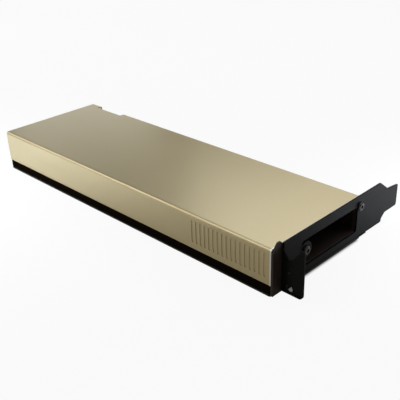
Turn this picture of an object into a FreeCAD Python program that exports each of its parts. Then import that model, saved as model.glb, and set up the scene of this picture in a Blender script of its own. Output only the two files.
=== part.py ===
import FreeCAD, Part
import math
import os
import re
import sys

import Sketcher

# A passive accelerator card for a server, lying on its backplate. A folded metal cover makes a duct
# over a long fin stack, a black base frame and a backplate hold the circuit board between them, and
# a two-slot bracket closes the outlet end.
#
# Every sub-part is drawn in the card's own datum, in millimetres:
#   X runs from the tail (0) towards the bracket,
#   Y runs from the card's top edge (0) to the edge connector,
#   Z runs up from the backplate's underside (0) to the cover.
# Each sub-part's Placement then moves that datum, so that the origin of the part is the middle of
# the underside of the whole card.

# Driving sizes: name, value in millimetres or a count, and what it is.
SIZES = [
    ("length", 267, "tail to the bracket end of the cover"),
    ("width", 86.3, "cover, over its two walls"),
    ("height", 30.6, "underside to the top of the cover"),
    ("strip", 7.4, "height of the black base below the cover"),
    ("skin", 1, "cover sheet"),
    ("bend", 1.8, "outer radius of the cover's two folds"),
    ("reliefdeep", 5, "relief in the cover's far fold, down from the top"),
    ("lug", 3.4, "thickness of the block at the far corner of the tail"),
    ("supporthigh", 20.5, "middle of the threaded holes in that block"),
    ("flutepitch", 3.5, "pressed flutes in the near wall, one to the next"),
    ("flutewide", 1.7, "flute width"),
    ("flutedeep", 0.4, "flute depth"),
    ("flutes", 17, "number of flutes"),
    ("backsheet", 1.2, "backplate sheet"),
    ("screwhead", 2.5, "head radius of the screws under the backplate"),
    ("boardlow", 2.3, "underside of the board"),
    ("board", 1.57, "board thickness"),
    ("shoulder", 98.4, "board edge beside the edge connector"),
    ("fingertip", 111.15, "end of the edge connector, from the card's top edge"),
    ("tabstart", 57.15, "edge connector's near side, from the bracket"),
    ("tabshort", 11.65, "connector tongue before the key"),
    ("tablong", 71.65, "connector tongue after the key"),
    ("keygap", 1.9, "connector key"),
    ("contact", 0.7, "width of one contact"),
    ("rim", 1.4, "base frame wall"),
    ("decklow", 5.9, "underside of the base frame's deck"),
    ("liphigh", 5.5, "rise of the lips that locate the cover"),
    ("gpux", 150, "middle of the processor along the card"),
    ("gpuy", 44, "middle of the processor across the card"),
    ("package", 55, "side of the processor's package"),
    ("screwspan", 64, "square of the four spring screws"),
    ("finstart", 45, "tail end of the heat sink"),
    ("finend", 240, "outlet end of the heat sink"),
    ("finnear", 4, "first side of the heat sink"),
    ("finfar", 83, "second side of the heat sink"),
    ("sinkbase", 3, "heat sink's base plate"),
    ("fintop", 29, "top of the fins"),
    ("finthick", 0.45, "one fin"),
    ("fins", 41, "number of fins"),
    ("endplate", 1.5, "end frame's plate"),
    ("sleeve", 22, "end frame's sleeve inside the cover"),
    ("sleevewall", 1.2, "sleeve wall"),
    ("earout", 4, "screw ear's middle, in from the window's first side"),
    ("earhigh", 19, "screw ear's middle above the underside"),
    ("bracketsheet", 1, "bracket sheet"),
    ("bracketlow", 2, "flange's lower edge"),
    ("facelow", 3.6, "lower edge of the bracket's face"),
    ("facefoot", 0.4, "lower edge of the face beside the flange"),
    ("brackettop", 32.8, "bracket's upper edge"),
    ("bracketlength", 120.02, "bracket, flange to the end of its tongue"),
    ("flangeface", 6.8, "flange's outer face, from the card's top edge"),
    ("flangereach", 14.5, "flange, out from the bracket's face"),
    ("notchpitch", 20.32, "screw notch to screw notch, one slot apart"),
    ("notchwide", 4.42, "screw notch width"),
    ("notchlow", 5.8, "middle of the lower screw notch's round end"),
    ("notchout", 5.2, "middle of a screw notch, out from the bracket's face"),
    ("windownear", 24, "first side of the bracket's window"),
    ("windowfar", 80, "second side of the bracket's window"),
    ("windowlow", 8.4, "bottom of the bracket's window"),
    ("windowtop", 26, "top of the bracket's window"),
    ("powerx", 24, "depth of the power connector"),
    ("powery", 60, "first side of the power connector"),
    ("powerwide", 19.8, "width of the power connector"),
    ("powerhigh", 11.4, "height of the power connector"),
    ("cellpitch", 4.2, "power contacts, one to the next"),
]

VALUES = {name: value for name, value, meaning in SIZES}

# Heights and places that follow from the driving sizes.
BOARD_TOP = "(boardlow + board)"
BRACKET_IN = "(length + endplate)"
BRACKET_OUT = "(length + endplate + bracketsheet)"
ORIGIN_X = "-(length + endplate + bracketsheet + flangereach) / 2"
ORIGIN_Y = "-(flangeface + bracketlength) / 2"
TAB_FRONT = "(length + endplate - tabstart)"
TAB_KEY = "(length + endplate - tabstart - tabshort)"
TAB_BACK = "(length + endplate - tabstart - tabshort - keygap - tablong)"

doc = FreeCAD.newDocument("accelerator_card")
sheet = doc.addObject("Spreadsheet::Sheet", "Sizes")
for row, (name, value, meaning) in enumerate(SIZES, start=1):
    sheet.set("A%d" % row, name)
    sheet.set("B%d" % row, str(value))
    sheet.setAlias("B%d" % row, name)
    sheet.set("C%d" % row, meaning)
doc.recompute()

SHANK_SIDES = 8
HEAD_SIDES = 16

parts = []


# ---------------------------------------------------------------- helpers

def ref(formula):
    """The formula with each size's name pointed at its cell in the sheet."""
    return re.sub(r"[a-z]+", lambda m: "Sizes." + m.group(0) if m.group(0) in VALUES else m.group(0),
                  str(formula))


def bind(obj, prop, formula):
    obj.setExpression(prop, ref(formula))


def place(obj):
    """Move a finished sub-part from the card's datum to the part's origin."""
    bind(obj, "Placement.Base.x", ORIGIN_X)
    bind(obj, "Placement.Base.y", ORIGIN_Y)
    parts.append(obj)


def new_body(label):
    body = doc.addObject("PartDesign::Body", label)
    body.Label = label
    body.AllowCompound = True
    place(body)
    return body


def origin_item(body, role):
    return [item for item in body.Origin.OriginFeatures if item.Role == role][0]


def new_sketch(body, plane, level):
    """A sketch on one of the body's own planes, lifted to a level along the plane's normal."""
    sketch = body.newObject("Sketcher::SketchObject", body.Label + "_sketch")
    sketch.AttachmentSupport = [(origin_item(body, plane + "_Plane"), "")]
    sketch.MapMode = "FlatFace"
    bind(sketch, "AttachmentOffset.Base.z", level)
    return sketch


def pin_point(sketch, geometry, point, x, y, rough):
    """Fix one point of a sketch by two formulas."""
    for kind, formula, value in (("DistanceX", x, rough.x), ("DistanceY", y, rough.y)):
        index = sketch.addConstraint(Sketcher.Constraint(kind, -1, 1, geometry, point, value))
        sketch.setExpression("Constraints[%d]" % index, ref(formula))


def outline(sketch, points):
    """A closed outline through the points, each given by two formulas."""
    first = sketch.GeometryCount
    count = len(points)
    rough = [FreeCAD.Vector(10 * math.cos(2 * math.pi * i / count),
                            10 * math.sin(2 * math.pi * i / count), 0) for i in range(count)]
    for i in range(count):
        sketch.addGeometry(Part.LineSegment(rough[i], rough[(i + 1) % count]), False)
    for i in range(count):
        sketch.addConstraint(Sketcher.Constraint("Coincident", first + i, 2, first + (i + 1) % count, 1))
    for i, (x, y) in enumerate(points):
        pin_point(sketch, first + i, 1, x, y, rough[i])


def rectangle(sketch, x0, y0, x1, y1):
    outline(sketch, [(x0, y0), (x1, y0), (x1, y1), (x0, y1)])


def circle(sketch, x, y, radius):
    centre = FreeCAD.Vector(sketch.GeometryCount + 1, 1, 0)
    geometry = sketch.addGeometry(Part.Circle(centre, FreeCAD.Vector(0, 0, 1), 1), False)
    pin_point(sketch, geometry, 3, x, y, centre)
    index = sketch.addConstraint(Sketcher.Constraint("Radius", geometry, 1))
    sketch.setExpression("Constraints[%d]" % index, ref(radius))


def screw_hole(sketch, x, y, radius):
    """An eight-sided hole that a screw hides; radius is out to its flats."""
    points = []
    for index in range(SHANK_SIDES):
        angle = 2 * math.pi * (index + 0.5) / SHANK_SIDES
        corner = [shape(angle) / math.cos(math.pi / SHANK_SIDES) for shape in (math.cos, math.sin)]
        points.append(("(%s) + (%s) * (%.4f)" % (x, radius, corner[0]),
                       "(%s) + (%s) * (%.4f)" % (y, radius, corner[1])))
    outline(sketch, points)


def slot(sketch, x, low, high, width):
    """A round-ended slot standing along the sketch's second axis."""
    half = "(%s) / 2" % width
    ends = ["(%s) + %s" % (low, half), "(%s) - %s" % (high, half)]
    bottom = FreeCAD.Vector(0, -5, 0)
    top = FreeCAD.Vector(0, 5, 0)
    normal = FreeCAD.Vector(0, 0, 1)
    lower = sketch.addGeometry(Part.ArcOfCircle(Part.Circle(bottom, normal, 2), math.pi, 2 * math.pi), False)
    upper = sketch.addGeometry(Part.ArcOfCircle(Part.Circle(top, normal, 2), 0, math.pi), False)
    right = sketch.addGeometry(Part.LineSegment(FreeCAD.Vector(2, -5, 0), FreeCAD.Vector(2, 5, 0)), False)
    left = sketch.addGeometry(Part.LineSegment(FreeCAD.Vector(-2, 5, 0), FreeCAD.Vector(-2, -5, 0)), False)
    sketch.addConstraint(Sketcher.Constraint("Tangent", lower, 2, right, 1))
    sketch.addConstraint(Sketcher.Constraint("Tangent", right, 2, upper, 1))
    sketch.addConstraint(Sketcher.Constraint("Tangent", upper, 2, left, 1))
    sketch.addConstraint(Sketcher.Constraint("Tangent", left, 2, lower, 1))
    pin_point(sketch, lower, 3, x, ends[0], bottom)
    pin_point(sketch, upper, 3, x, ends[1], top)
    index = sketch.addConstraint(Sketcher.Constraint("Radius", lower, 2))
    sketch.setExpression("Constraints[%d]" % index, ref(half))


def start_level(plane, low, high, cut):
    """Where a sketch sits so that its feature fills low to high along the axis."""
    backwards = (plane == "XZ")
    at_high = (cut != backwards)
    level = high if at_high else low
    return "-(%s)" % level if backwards else level


def grow(body, plane, low, high, draw):
    """Pad what draw puts on a sketch, from low to high along the plane's axis."""
    sketch = new_sketch(body, plane, start_level(plane, low, high, False))
    draw(sketch)
    feature = body.newObject("PartDesign::Pad", body.Label + "_pad")
    feature.Profile = (sketch, [""])
    bind(feature, "Length", "(%s) - (%s)" % (high, low))
    sketch.Visibility = False
    return sketch, feature


def cut(body, plane, low, high, draw):
    """Pocket what draw puts on a sketch, from low to high, and check that it removes material."""
    doc.recompute()
    before = body.Shape.Volume
    sketch = new_sketch(body, plane, start_level(plane, low, high, True))
    draw(sketch)
    feature = body.newObject("PartDesign::Pocket", body.Label + "_pocket")
    feature.Profile = (sketch, [""])
    bind(feature, "Length", "(%s) - (%s)" % (high, low))
    doc.recompute()
    if body.Shape.Volume > before - 1e-6:
        sys.exit("%s: a pocket removes nothing" % body.Label)
    return sketch, feature


def block(body, x0, x1, y0, y1, z0, z1):
    return grow(body, "XY", z0, z1, lambda s: rectangle(s, x0, y0, x1, y1))


def notch(body, x0, x1, y0, y1, z0, z1):
    return cut(body, "XY", z0, z1, lambda s: rectangle(s, x0, y0, x1, y1))


def row_of(body, feature, role, span, count):
    """Repeat a feature in a straight row."""
    pattern = body.newObject("PartDesign::LinearPattern", body.Label + "_row")
    pattern.Originals = [feature]
    pattern.Direction = (origin_item(body, role), [""])
    bind(pattern, "Length", span)
    bind(pattern, "Occurrences", count)
    body.Tip = pattern
    return pattern


def sketch_corner(sketch, index):
    """A corner of a sketch, in its body's own axes."""
    point = sketch.getPoint(index, 1)
    return sketch.Placement.multVec(FreeCAD.Vector(point.x, point.y, 0))


def round_corners(body, sketch, indexes, radius):
    """Round the standing edges above the named corners of a sketch."""
    doc.recompute()
    feature = body.Tip
    normal = sketch.Placement.Rotation.multVec(FreeCAD.Vector(0, 0, 1))
    names = []
    for number, edge in enumerate(feature.Shape.Edges, start=1):
        if len(edge.Vertexes) != 2 or edge.Curve.TypeId != "Part::GeomLine":
            continue
        start, end = edge.Vertexes[0].Point, edge.Vertexes[1].Point
        along = end - start
        if abs(along.dot(normal)) < along.Length - 1e-6:
            continue
        for index in indexes:
            away = start - sketch_corner(sketch, index)
            if (away - normal * away.dot(normal)).Length < 1e-4:
                names.append("Edge%d" % number)
    if len(names) < len(indexes):
        sys.exit("%s: found %d of %d corners to round" % (body.Label, len(names), len(indexes)))
    fillet = body.newObject("PartDesign::Fillet", body.Label + "_fillet")
    fillet.Base = (feature, names)
    bind(fillet, "Radius", radius)
    doc.recompute()
    return fillet


def box(x, y, z, length, width, height):
    """A plain block, placed by formulas."""
    item = doc.addObject("Part::Box", "block")
    for prop, formula in (("Length", length), ("Width", width), ("Height", height),
                          ("Placement.Base.x", x), ("Placement.Base.y", y), ("Placement.Base.z", z)):
        bind(item, prop, formula)
    return item


TURNS = {
    "Z": FreeCAD.Rotation(),
    "X": FreeCAD.Rotation(FreeCAD.Vector(0, 1, 0), 90),
    "Y": FreeCAD.Rotation(FreeCAD.Vector(1, 0, 0), -90),
}


def rod(x, y, z, radius, height, axis="Z"):
    """A cylinder that grows from its point along an axis."""
    item = doc.addObject("Part::Cylinder", "rod")
    item.Placement = FreeCAD.Placement(FreeCAD.Vector(0, 0, 0), TURNS[axis])
    for prop, formula in (("Radius", radius), ("Height", height),
                          ("Placement.Base.x", x), ("Placement.Base.y", y), ("Placement.Base.z", z)):
        bind(item, prop, formula)
    return item


def fused(members):
    item = doc.addObject("Part::MultiFuse", "fused")
    item.Shapes = members
    return item


def carved(base, tool):
    item = doc.addObject("Part::Cut", "carved")
    item.Base = base
    item.Tool = tool
    return item


def group(label, members):
    """Separate like solids that share one node."""
    item = doc.addObject("Part::Compound", label)
    item.Label = label
    item.Links = members
    place(item)
    return item


def bar(x, y, z, radius, height, axis="Z", sides=6):
    """A many-sided bar that grows from its point along an axis; radius is out to its corners."""
    item = doc.addObject("Part::Prism", "bar")
    item.Polygon = sides
    item.Placement = FreeCAD.Placement(FreeCAD.Vector(0, 0, 0), TURNS[axis])
    for prop, formula in (("Circumradius", radius), ("Height", height),
                          ("Placement.Base.x", x), ("Placement.Base.y", y), ("Placement.Base.z", z)):
        bind(item, prop, formula)
    return item


def pan_screw(x, y, z, axis, head, depth, shank, reach):
    """A screw whose head starts at the point and whose shank runs the other way from it."""
    back = {"X": (1, 0, 0), "Y": (0, 1, 0), "Z": (0, 0, 1)}[axis]
    tail = ["(%s) - (%s) * %d" % (value, reach, step) for value, step in zip((x, y, z), back)]
    top = rod(x, y, z, head, depth, axis)
    stem = bar(tail[0], tail[1], tail[2], shank, "(%s) + 0.1" % reach, axis, SHANK_SIDES)
    socket = ["(%s) + (%s) * %g" % (value, depth, 0.45 * step) for value, step in zip((x, y, z), back)]
    return carved(fused([top, stem]), bar(*socket, "(%s) * 0.45" % head, depth, axis))


def flush_screw(x, y, z, head, depth, shank, reach):
    """A screw from below, whose head starts at the point and whose shank runs up from it."""
    top = bar(x, y, z, head, depth, "Z", HEAD_SIDES)
    stem = bar(x, y, z, shank, reach, "Z", SHANK_SIDES)
    socket = bar(x, y, "(%s) - 1" % z, "(%s) * 0.45" % head, "(%s) * 0.6 + 1" % depth)
    return carved(fused([top, stem]), socket)


# ---------------------------------------------------------------- cover

def make_cover():
    """One folded sheet: a top and two walls, open at both ends and below."""
    body = new_body("cover")
    profile, solid = grow(body, "YZ", "0", "length",
                          lambda s: rectangle(s, "0", "strip", "width", "height"))
    round_corners(body, profile, [2, 3], "bend")
    hollow, pocket = cut(body, "YZ", "0", "length",
                         lambda s: rectangle(s, "skin", "strip", "width - skin", "height - skin"))
    round_corners(body, hollow, [2, 3], "bend - skin")
    # relief in the far fold, over the power connector
    relief, pocket = cut(body, "XY", "height - reliefdeep", "height",
                         lambda s: rectangle(s, "10.5", "width - 4.9", "41", "width + 1"))
    round_corners(body, relief, [0, 1], "1.2")
    # holes for the screws in the far wall
    cut(body, "XZ", "width - skin - 1", "width + 1", draw_cover_screw_holes)
    # pressed flutes near the outlet
    start = "length - 3.5 - flutepitch * (flutes - 1) - flutewide"
    flute, pocket = cut(body, "XZ", "-1", "flutedeep",
                        lambda s: draw_flute(s, start, "strip + 4", "height - 3.5"))
    row_of(body, pocket, "X_Axis", "flutepitch * (flutes - 1)", "flutes")
    doc.recompute()


def draw_flute(sketch, start, low, high):
    """One upright flute with a point at each end."""
    middle = "%s + flutewide / 2" % start
    end = "%s + flutewide" % start
    outline(sketch, [(middle, low), (end, low + " + flutewide / 2"), (end, high + " - flutewide / 2"),
                     (middle, high), (start, high + " - flutewide / 2"), (start, low + " + flutewide / 2")])


COVER_SCREWS = ("60", "150", "235")
TAIL_COLUMNS = ("5.5", "16.5")
TAIL_SCREW_HIGH = "strip + 5"


def draw_cover_screw_holes(sketch):
    for x in COVER_SCREWS:
        screw_hole(sketch, x, "strip + 3", "1.3")
    for x in TAIL_COLUMNS:
        screw_hole(sketch, x, TAIL_SCREW_HIGH, "1.3")


def make_cover_screws():
    group("cover_screws", [pan_screw(x, "width", "strip + 3", "Y", "2.3", "1.2", "1.2", "2.2")
                           for x in COVER_SCREWS])


# ---------------------------------------------------------------- tail block

def make_tail_block():
    """The lug at the far corner of the tail that a server's support bracket screws to."""
    body = new_body("tail_block")
    foot, solid = block(body, "1.5", "20.5", "width", "width + lug", "strip + 1",
                        "height - reliefdeep - 0.5")
    round_corners(body, foot, [2, 3], "1")
    cut(body, "XZ", "width", "width + lug", draw_tail_block_holes)


def draw_tail_block_holes(sketch):
    for x in TAIL_COLUMNS:
        screw_hole(sketch, x, TAIL_SCREW_HIGH, "1.3")
        circle(sketch, x, "supporthigh", "1.25")


def make_tail_block_screws():
    group("tail_block_screws", [pan_screw(x, "width + lug", TAIL_SCREW_HIGH, "Y", "2.4", "1.2", "1.25",
                                          "lug + 3")
                                for x in TAIL_COLUMNS])


# ---------------------------------------------------------------- backplate and its insulator

BACK_SCREWS = [(x, y) for y in ("5.5", "81") for x in ("36", "76", "255")]


def spring_corners():
    half = "screwspan / 2"
    return [("gpux %s %s" % (a, half), "gpuy %s %s" % (b, half)) for a in "+-" for b in "+-"]


def make_backplate():
    """Stamped sheet under the board, with a window for the spring plate."""
    body = new_body("backplate")
    face, solid = block(body, "0", "length", "0", "shoulder - 1.4", "0", "backsheet")
    round_corners(body, face, [0, 1, 2, 3], "1.5")
    half = "(screwspan + 12) / 2"
    window, pocket = notch(body, "gpux - %s" % half, "gpux + %s" % half,
                           "gpuy - %s" % half, "gpuy + %s" % half, "-1", "backsheet")
    round_corners(body, window, [0, 1, 2, 3], "5")

    def holes(sketch):
        for x, y in BACK_SCREWS:
            circle(sketch, x, y, "screwhead + 0.1")
    cut(body, "XY", "-1", "backsheet", holes)


def make_insulating_sheet():
    """Film between the backplate and the board."""
    body = new_body("insulating_sheet")
    block(body, "2", "length - 2", "2", "shoulder - 2", "backsheet", "backsheet + 0.25")
    half = "(screwspan + 14) / 2"
    notch(body, "gpux - %s" % half, "gpux + %s" % half,
          "gpuy - %s" % half, "gpuy + %s" % half, "backsheet - 1", "backsheet + 0.25")

    def clearances(sketch):
        for x, y in BACK_SCREWS:
            rectangle(sketch, x + " - 3.8", y + " - 3.3", x + " + 3.8", y + " + 3.3")
    cut(body, "XY", "backsheet - 1", "backsheet + 0.25", clearances)


def make_standoffs():
    """Six-sided nuts pressed into the backplate, which carry the board."""
    group("standoffs", [carved(bar(x, y, "backsheet", "3.5", "boardlow - backsheet"),
                               bar(x, y, "backsheet - 1", "1.4", "boardlow", "Z", SHANK_SIDES))
                        for x, y in BACK_SCREWS])


def make_backplate_screws():
    """Flush screws, up through the nuts and the board into the base frame."""
    group("backplate_screws", [flush_screw(x, y, "0.2", "screwhead", "backsheet - 0.2", "1.2", "strip - 0.7")
                               for x, y in BACK_SCREWS])


# ---------------------------------------------------------------- base frame

def make_base_frame():
    """Black cast frame: a rim round the board, a deck over it and two lips inside the cover."""
    body = new_body("base_frame")
    face, solid = block(body, "0", "length", "0", "width", "backsheet", "strip")
    round_corners(body, face, [0, 3], "1.5")
    # space for the board, open on the far side, and for the parts on the board
    notch(body, "rim", "length - rim", "rim", "width + 1", "backsheet - 1", BOARD_TOP)
    notch(body, "rim", "length - rim", "rim", "width - rim", BOARD_TOP + " - 1", "decklow")
    # windows for the processor, for two rows of coils and for the power connector
    half = "(screwspan / 2 + 2.5)"
    notch(body, "gpux - %s" % half, "gpux + %s" % half,
          "gpuy - %s" % half, "gpuy + %s" % half, "decklow - 1", "strip")
    for x in COIL_ROWS:
        notch(body, "%s - 6.5" % x, "%s + 6.5" % x, "6.5", "79.5", "decklow - 1", "strip")
    notch(body, "-1", "powerx + 2", "powery - 1", "powery + powerwide + 1", BOARD_TOP, "strip")
    # bosses that the backplate screws run into
    grow(body, "XY", BOARD_TOP, "strip", draw_bosses)

    def holes(sketch):
        for x, y in BACK_SCREWS:
            screw_hole(sketch, x, y, "1.25")
    cut(body, "XY", BOARD_TOP + " - 1", "strip", holes)
    # lips that locate the cover's walls
    block(body, "20", "finend", "skin + 0.1", "skin + 1.3", "strip - 1", "strip + liphigh")
    block(body, "48", "finend", "width - skin - 1.3", "width - skin - 0.1", "strip - 1",
          "strip + liphigh")

    def screw_holes(sketch):
        for x in COVER_SCREWS:
            screw_hole(sketch, x, "strip + 3", "1.25")
    cut(body, "XZ", "width - 4", "width", screw_holes)


def draw_bosses(sketch):
    for x, y in BACK_SCREWS:
        rectangle(sketch, x + " - 2.8", y + " - 2.8", x + " + 2.8", y + " + 2.8")


# ---------------------------------------------------------------- circuit board

COIL_ROWS = ("101", "199")


def make_pcb():
    """The board, with the edge connector's tongue, key, hook and bevel."""
    body = new_body("pcb")
    left = "rim + 0.2"
    right = "length - rim - 0.2"
    hook = TAB_BACK + " - 4"
    block_points = [
        (left, left), (right, left), (right, "shoulder"),
        (TAB_FRONT, "shoulder"), (TAB_FRONT, "fingertip - 1"), (TAB_FRONT + " - 1", "fingertip"),
        (TAB_KEY, "fingertip"), (TAB_KEY, "fingertip - 7.2"),
        (TAB_KEY + " - keygap", "fingertip - 7.2"), (TAB_KEY + " - keygap", "fingertip"),
        (TAB_BACK + " + 1", "fingertip"), (TAB_BACK, "fingertip - 1"),
        (TAB_BACK, "shoulder - 2.5"), (hook, "shoulder - 2.5"), (hook, "fingertip - 4.6"),
        (hook + " + 2", "fingertip - 3.4"), (hook + " + 2", "fingertip - 1.6"),
        (hook + " - 3.4", "fingertip - 1.6"), (hook + " - 5", "fingertip - 3.6"),
        (hook + " - 5", "shoulder"), (left, "shoulder"),
    ]
    face, solid = grow(body, "XY", "boardlow", BOARD_TOP, lambda s: outline(s, block_points))
    round_corners(body, face, [0, 1, 2, 20], "1")

    def holes(sketch):
        for x, y in BACK_SCREWS:
            screw_hole(sketch, x, y, "1.5")
        for x, y in spring_corners():
            screw_hole(sketch, x, y, "2")
    cut(body, "XY", "boardlow - 1", BOARD_TOP, holes)

    # bevel on both faces of the connector's end
    def bevels(sketch):
        outline(sketch, [("fingertip + 0.1", "boardlow - 0.1"), ("fingertip + 0.1", "boardlow + 0.4"),
                         ("fingertip - 1.2", "boardlow - 0.1")])
        outline(sketch, [("fingertip + 0.1", BOARD_TOP + " + 0.1"), ("fingertip - 1.2", BOARD_TOP + " + 0.1"),
                         ("fingertip + 0.1", BOARD_TOP + " - 0.4")])
    cut(body, "YZ", TAB_BACK + " - 0.1", TAB_FRONT + " + 0.1", bevels)


def make_edge_contacts():
    """Plated contacts on both faces of the tongue, one millimetre apart."""
    body = new_body("edge_contacts")
    low = "fingertip - 5.6"
    high = "fingertip - 1.3"
    rows = ((TAB_KEY + " + 0.5 - contact / 2 + 0.15", "10", "11"),
            (TAB_BACK + " + 0.5 - contact / 2 + 0.15", "70", "71"))
    for z0, z1 in ((BOARD_TOP, BOARD_TOP + " + 0.05"), ("boardlow - 0.05", "boardlow")):
        for start, span, count in rows:
            sketch, pad = block(body, start, start + " + contact", low, high, z0, z1)
            row_of(body, pad, "X_Axis", span, count)


# ---------------------------------------------------------------- processor and what feeds it

def make_processor():
    half = "package / 2"
    top = BOARD_TOP + " + 2.3"
    body = new_body("package_substrate")
    block(body, "gpux - %s" % half, "gpux + %s" % half,
          "gpuy - %s" % half, "gpuy + %s" % half, BOARD_TOP, top)

    body = new_body("package_ring")
    block(body, "gpux - %s + 0.6" % half, "gpux + %s - 0.6" % half,
          "gpuy - %s + 0.6" % half, "gpuy + %s - 0.6" % half, top, top + " + 0.7")
    notch(body, "gpux - 21", "gpux + 21", "gpuy - 21", "gpuy + 21", top + " - 1", top + " + 1")

    body = new_body("processor_die")
    block(body, "gpux - 13", "gpux + 13", "gpuy - 16.5", "gpuy + 16.5", top, top + " + 1")

    group("memory_stacks", [box("gpux %s" % dx, "gpuy %s" % dy, top, "6", "11", "1")
                            for dx in ("- 19.5", "+ 13.5") for dy in ("- 13", "+ 2")])


def make_power_stage():
    """Coils, switches and capacitors in two banks, one each side of the processor."""
    coils = []
    switches = []
    pads = []
    cans = []
    for x, inward in zip(COIL_ROWS, (1, -1)):
        for index in range(6):
            y = "8 + 12 * %d" % index
            coil = box("%s - 5" % x, y, BOARD_TOP, "10", "10", "3.2")
            coils.append(coil)
            pads.append(box("%s - 4.5" % x, "%s + 0.5" % y, BOARD_TOP + " + 3.2", "9", "9",
                            "strip - 3.2 - boardlow - board"))
            x_switch = "%s %s" % (x, "+ 8.5" if inward > 0 else "- 13.5")
            switches.append(box(x_switch, "%s + 2" % y, BOARD_TOP, "5", "6", "1"))
            pads.append(box(x_switch, "%s + 2" % y, BOARD_TOP + " + 1", "5", "6",
                            "decklow - 1 - boardlow - board"))
            x_can = "%s %s" % (x, "- 15" if inward > 0 else "+ 7.7")
            for shift in (0.6, 5.4):
                cans.append(box(x_can, "%s + %g" % (y, shift), BOARD_TOP, "7.3", "4.3", "1.9"))
    group("coils", coils)
    group("power_stages", switches)
    group("thermal_pads", pads)
    group("bulk_capacitors", cans)
    group("controller_chips", [box(x, y, BOARD_TOP, size, size, "0.95")
                               for x, y, size in (("48", "20", "9"), ("62", "44", "6"), ("48", "52", "7"),
                                                  ("226", "30", "7"), ("228", "58", "9"),
                                                  ("188", "88.5", "5"), ("100", "89", "5"))])


# ---------------------------------------------------------------- heat sink

def make_heatsink_base():
    """Flat vapour chamber that bridges the processor and both banks of coils, with a pedestal."""
    body = new_body("heatsink_base")
    block(body, "finstart", "finend", "finnear", "finfar", "strip", "strip + sinkbase")
    block(body, "gpux - 20.5", "gpux + 20.5", "gpuy - 20.5", "gpuy + 20.5", BOARD_TOP + " + 3.3", "strip + 1")

    def holes(sketch):
        for x, y in spring_corners():
            screw_hole(sketch, x, y, "1.5")
    cut(body, "XY", "strip - 1", "strip + 2", holes)


def make_fin_stack():
    """Thin fins along the air's way, folded together at the foot."""
    body = new_body("fin_stack")
    foot = "strip + sinkbase"
    block(body, "finstart", "finend", "finnear", "finfar", foot, foot + " + 0.5")
    sketch, fin = block(body, "finstart", "finend", "finnear", "finnear + finthick", foot + " + 0.2", "fintop")
    row_of(body, fin, "Y_Axis", "finfar - finnear - finthick", "fins")


def make_spring_plate():
    """Cross-shaped spring under the board that pulls the heat sink onto the processor."""
    body = new_body("spring_plate")
    reach = "(screwspan / 2 + 4)"
    wide = "4.2"
    low = "0.9"
    for dx, dy in ((1, 1), (1, -1)):
        # one straight arm from corner to corner, as a long six-sided blade
        points = []
        for end in (-1, 1):
            tip_x = "gpux + %d * %s" % (end * dx, reach)
            tip_y = "gpuy + %d * %s" % (end * dy, reach)
            inner_x = "%s - %d * 2 * %s" % (tip_x, end * dx, wide)
            inner_y = "%s - %d * 2 * %s" % (tip_y, end * dy, wide)
            points += [(inner_x, tip_y), (tip_x, tip_y), (tip_x, inner_y)]
        grow(body, "XY", low, low + " + 1", lambda s: outline(s, points))
    block(body, "gpux - 13", "gpux + 13", "gpuy - 13", "gpuy + 13", low, "boardlow")

    def holes(sketch):
        for x, y in spring_corners():
            screw_hole(sketch, x, y, "1.6")
    cut(body, "XY", low + " - 1", low + " + 2", holes)


def make_spring_screws():
    group("spring_screws", [flush_screw(x, y, "0.2", "3.2", "0.7", "1.45", "strip + 1.3")
                            for x, y in spring_corners()])


# ---------------------------------------------------------------- power connector

def make_power_connector():
    """Eight-way power socket facing the tail, with a latch bar on top."""
    body = new_body("power_connector")
    high = BOARD_TOP + " + powerhigh"
    face, solid = block(body, "1", "powerx", "powery", "powery + powerwide", BOARD_TOP, high)
    block(body, "3", "9", "powery + powerwide / 2 - 3", "powery + powerwide / 2 + 3",
          high + " - 1", high + " + 1.6")
    cell = "powery + powerwide / 2 - 1.5 * cellpitch"
    for z in ("2.9", "7.6"):
        sketch, pocket = cut(body, "YZ", "0", "13",
                             lambda s: rectangle(s, cell + " - 1.75", BOARD_TOP + " + %s - 1.75" % z,
                                                 cell + " + 1.75", BOARD_TOP + " + %s + 1.75" % z))
        row_of(body, pocket, "Y_Axis", "3 * cellpitch", "4")


def make_power_pins():
    """Eight metal pins inside the power socket."""
    body = new_body("power_pins")
    cell = "powery + powerwide / 2 - 1.5 * cellpitch"
    for z in ("2.9", "7.6"):
        sketch, pin = grow(body, "YZ", "4", "13",
                           lambda s: rectangle(s, cell + " - 0.55", BOARD_TOP + " + %s - 0.55" % z,
                                               cell + " + 0.55", BOARD_TOP + " + %s + 0.55" % z))
        row_of(body, pin, "Y_Axis", "3 * cellpitch", "4")


# ---------------------------------------------------------------- outlet end

EAR = ("windownear + earout", "earhigh")
BRACKET_SCREWS = (EAR, ("width - 4", "brackettop - 7.5"))


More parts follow.
